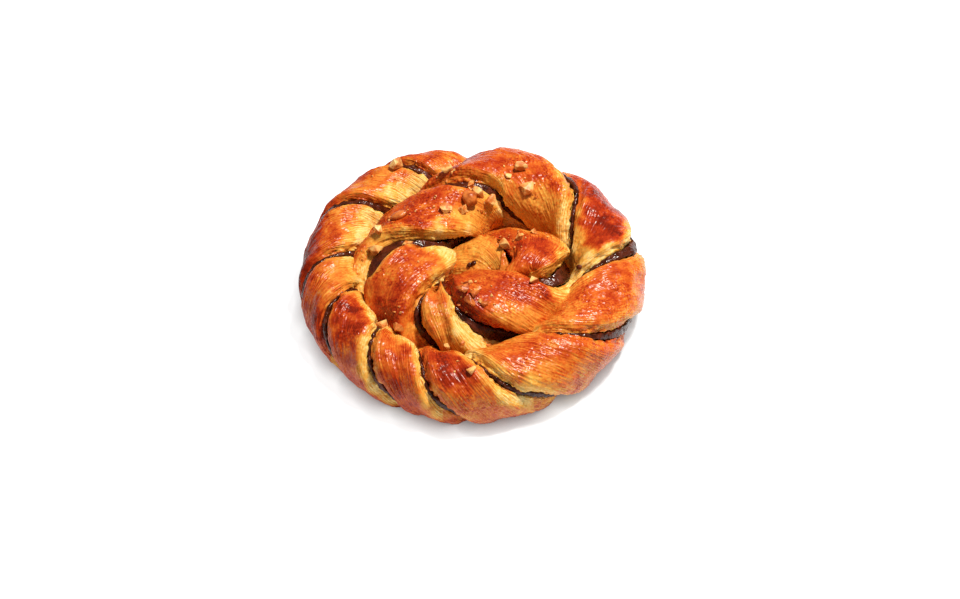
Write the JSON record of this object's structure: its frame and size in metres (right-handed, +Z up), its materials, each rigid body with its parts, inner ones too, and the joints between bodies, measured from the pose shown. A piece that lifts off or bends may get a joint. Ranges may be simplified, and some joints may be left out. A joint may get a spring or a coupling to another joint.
{
  "type": "chocolate knot pastry",
  "caption": "Baked laminated-dough pastry, twisted with chocolate filling, coiled into a round knot and topped with chopped hazelnuts.",
  "frame": {"origin": "middle of the underside, on the surface that the pastry rests on", "axes": "+Z up through the pastry, -Y towards the picture's viewer, +X to the viewer's right"},
  "size_m": [0.1104, 0.11, 0.0279],
  "materials": {
    "crust": "baked dough with an egg glaze, deep brown on the crests and pale cream where the layers show",
    "chocolate": "baked chocolate filling, very dark with small glossy spots",
    "hazelnut": "toasted chopped hazelnut, pale gold with browned edges"
  },
  "bodies": {
    "root": {"dough": "crust", "chocolate": "chocolate"}
  },
  "joints": []
}
